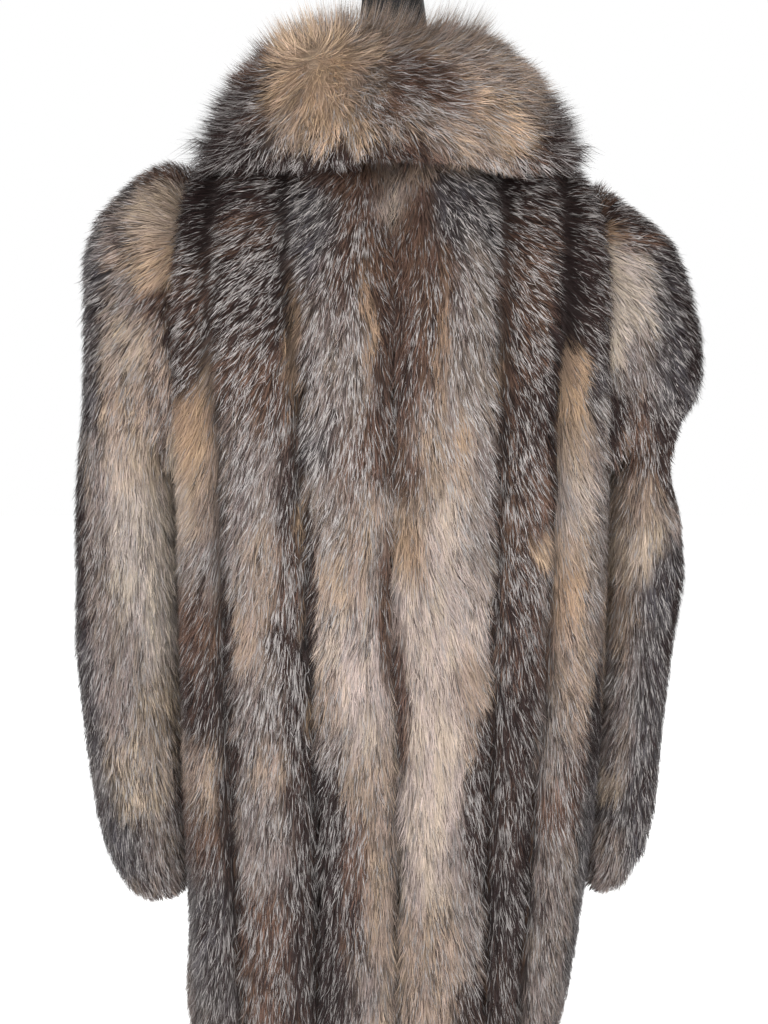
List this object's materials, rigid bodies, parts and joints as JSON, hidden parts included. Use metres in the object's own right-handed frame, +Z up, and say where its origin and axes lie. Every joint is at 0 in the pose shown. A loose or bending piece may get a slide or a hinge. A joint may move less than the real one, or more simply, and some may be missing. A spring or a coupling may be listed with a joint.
{
  "type": "fur coat on a dress form",
  "caption": "Full-length fur coat of upright skins with a large turned-over collar and rounded sleeves, hanging open-hemmed on a limbless dress form with a pole and round base.",
  "frame": {"origin": "the middle of the stand's flat underside, on the floor", "axes": "+Z up; the coat's front faces -Y and its back +Y; the wearer's left is +X"},
  "size_m": [0.666, 0.4, 1.67],
  "materials": {
    "fur_body": "long dense fur, dark brown to cream with silver tips",
    "fur_sleeve": "long dense fur, cream and grey-brown",
    "fur_collar": "long dense fur, tan and cream with dark sides",
    "form_cloth": "smooth black jersey",
    "form_metal": "black satin"
  },
  "bodies": {
    "root": {"back_skin_1": "fur_body", "back_skin_2": "fur_body", "back_skin_3": "fur_body", "back_skin_4": "fur_body", "back_skin_5": "fur_body", "back_skin_6": "fur_body", "front_left_skin_1": "fur_body", "front_left_skin_2": "fur_body", "front_left_skin_3": "fur_body", "front_right_skin_1": "fur_body", "front_right_skin_2": "fur_body", "front_right_skin_3": "fur_body", "side_skin_left": "fur_body", "side_skin_right": "fur_body", "sleeve_left": "fur_sleeve", "sleeve_right": "fur_sleeve", "collar": "fur_collar", "form_torso": "form_cloth", "form_cap": "form_metal", "form_pole": "form_metal", "form_base": "form_metal"}
  },
  "joints": []
}
